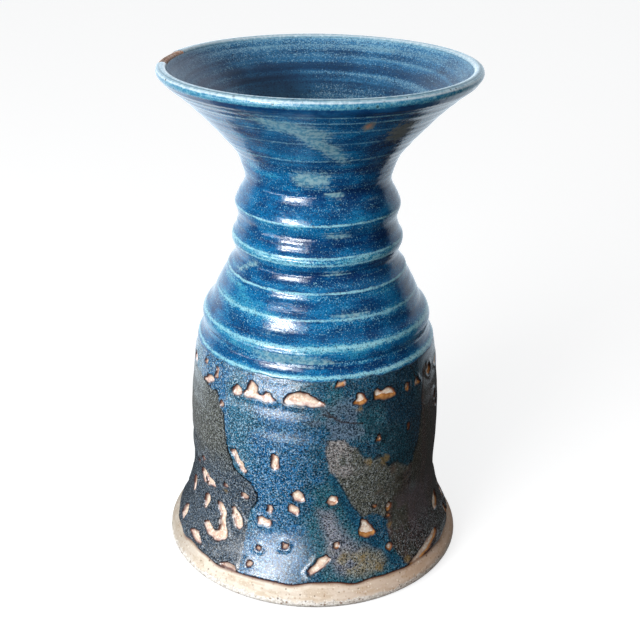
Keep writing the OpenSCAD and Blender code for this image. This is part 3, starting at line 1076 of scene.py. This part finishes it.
def room():
    """The light of the room: an even backdrop to the camera, an even fill on matt surfaces,
    and in the gloss the room itself."""
    world = bpy.data.worlds.new("room")
    bpy.context.scene.world = world
    world.use_nodes = True
    nodes = Nodes(world.node_tree)
    split = nodes.node("ShaderNodeSeparateXYZ", nodes.out(nodes.node("ShaderNodeTexCoord"), "Generated"))
    x, y, z = (nodes.out(split, axis) for axis in "XYZ")
    turn = nodes.calc("ARCTAN2", x, y * -1.0)
    ring = nodes.ramp(turn * (1 / TAU) + 0.5, [
        (degrees / 360 + 0.5, (*(bright * c for c in SKY_TINT), 1.0)) for degrees, bright in ROOM])
    up = nodes.mix(ring, grey(CEILING), nodes.step(z, 0.3, 0.9))
    gloss = nodes.mix(up, grey(UNDERFOOT), nodes.step(z, -0.74, -0.9))
    path = nodes.node("ShaderNodeLightPath")
    lit = nodes.mix(gloss, nodes.step(z, -0.3, 0.8, *FILL), nodes.out(path, "Is Diffuse Ray"))
    seen = nodes.mix(lit, grey(BACKDROP), nodes.out(path, "Is Camera Ray"))
    nodes.put(nodes.tree.nodes["Background"].inputs["Color"], seen)


def window(name, degrees, lift, away, wide, tall, power):
    """A soft light as wide as a window, aimed at the middle of the pot."""
    middle = Vector((0, 0, 0.14))
    a, b = math.radians(degrees), math.radians(lift)
    data = bpy.data.lights.new(name, "AREA")
    data.shape = "RECTANGLE"
    data.size, data.size_y = wide, tall
    data.energy = power
    made = add(name, data)
    toward = Vector((math.sin(a) * math.cos(b), -math.cos(a) * math.cos(b), math.sin(b)))
    made.location = middle + away * toward
    made.rotation_euler = (middle - made.location).to_track_quat("-Z", "Y").to_euler()


def stage_sheet(name, corners, bright, glow):
    """A flat sheet of the studio, not seen in the light that the pot gets."""
    flat = bpy.data.meshes.new(name)
    flat.from_pydata(corners, [], [tuple(range(len(corners)))])
    made = add(name, flat)
    cloth = Surface(name, 0.9, 0.1)
    cloth.shader["Base Color"].default_value = grey(bright)
    cloth.shader["Emission Color"].default_value = grey(1)
    cloth.shader["Emission Strength"].default_value = glow
    flat.materials.append(cloth.material)
    made.visible_diffuse = False
    return made


def only_in_gloss(made):
    """Leaves a sheet to be seen only as a reflection."""
    made.visible_camera = False
    made.visible_shadow = False


def spot(degrees, away, height):
    """A place in the studio, in m."""
    a = math.radians(degrees)
    return (away * math.sin(a), -away * math.cos(a), height)


def studio():
    """A plain pale floor, a window light at the front left, and the room round it."""
    half = 6.0
    corners = [(-half, -half, 0), (half, -half, 0), (half, half, 0), (-half, half, 0)]
    stage_sheet("floor", corners, 0.45, 0.73).visible_glossy = False
    for name, start, stop, inner, outer, bright in SHADES:
        arc = range(start, stop + 1, 4)
        ring = [spot(a, inner, 0.001) for a in arc] + [spot(a, outer, 0.001) for a in reversed(arc)]
        only_in_gloss(stage_sheet(name, ring, bright, 0.0))
    for k, glow in enumerate(CARD_GLOWS):
        a = CARDS_FROM + CARD_TURN * k
        b = a + CARD_TURN
        card = [spot(a, CARD_AWAY, CARD_LOW), spot(b, CARD_AWAY, CARD_LOW),
                spot(b, CARD_AWAY, CARD_HIGH), spot(a, CARD_AWAY, CARD_HIGH)]
        only_in_gloss(stage_sheet(f"card_{k}", card, 0.5, glow))
    room()
    for light in WINDOWS:
        window(*light)
    bpy.context.scene.view_settings.view_transform = "Standard"


def camera():
    """The view of the photograph: from a little above the mouth, in front, a little tilted."""
    data = bpy.data.cameras.new("camera")
    data.sensor_width = 36
    data.lens = 64.18
    stand = Vector((0, -0.5155, 0.35025))
    axis_point = Vector((0, 0, 0.1185))
    tilt = math.radians(0.923)
    aim_right = 0.00202
    ahead = (axis_point - stand).normalized()
    right = Vector((1, 0, 0))
    across = math.cos(tilt) * right + math.sin(tilt) * right.cross(ahead)
    ahead = (axis_point + aim_right * across - stand).normalized()
    across = (across - across.dot(ahead) * ahead).normalized()
    above = across.cross(ahead)
    made = add("camera", data)
    pose = Matrix((across, above, -ahead)).transposed().to_4x4()
    pose.translation = stand
    made.matrix_world = pose
    bpy.context.scene.camera = made


# ---------------------------------------------------------------- the pot

coats = {"bare_clay": bare_clay(), "dark_glaze": dark_glaze(), "blue_glaze": blue_glaze(),
         "lining": lining_glaze()}
mouth_columns = 360
# Each piece, the CAD node that it stands for, and its slot, which also names its coat
PIECES = [
    (lower_clay(), "clay_body", "bare_clay"),
    (upper_clay(), "clay_body", "bare_clay"),
    (lower_glaze(), "lower_glaze", "dark_glaze"),
    (upper_glaze(), "upper_glaze", "blue_glaze"),
    (lining("lining_mouth", LIP_END, NECK_INSIDE, mouth_columns, 0.6), "lining_glaze", "lining"),
    (lining("lining_belly", NECK_INSIDE, skin.end, 240, 1.2), "lining_glaze", "lining"),
]
for piece, node, slot in PIECES:
    piece.data.materials.append(coats[slot])
    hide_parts(node)
camera()
studio()
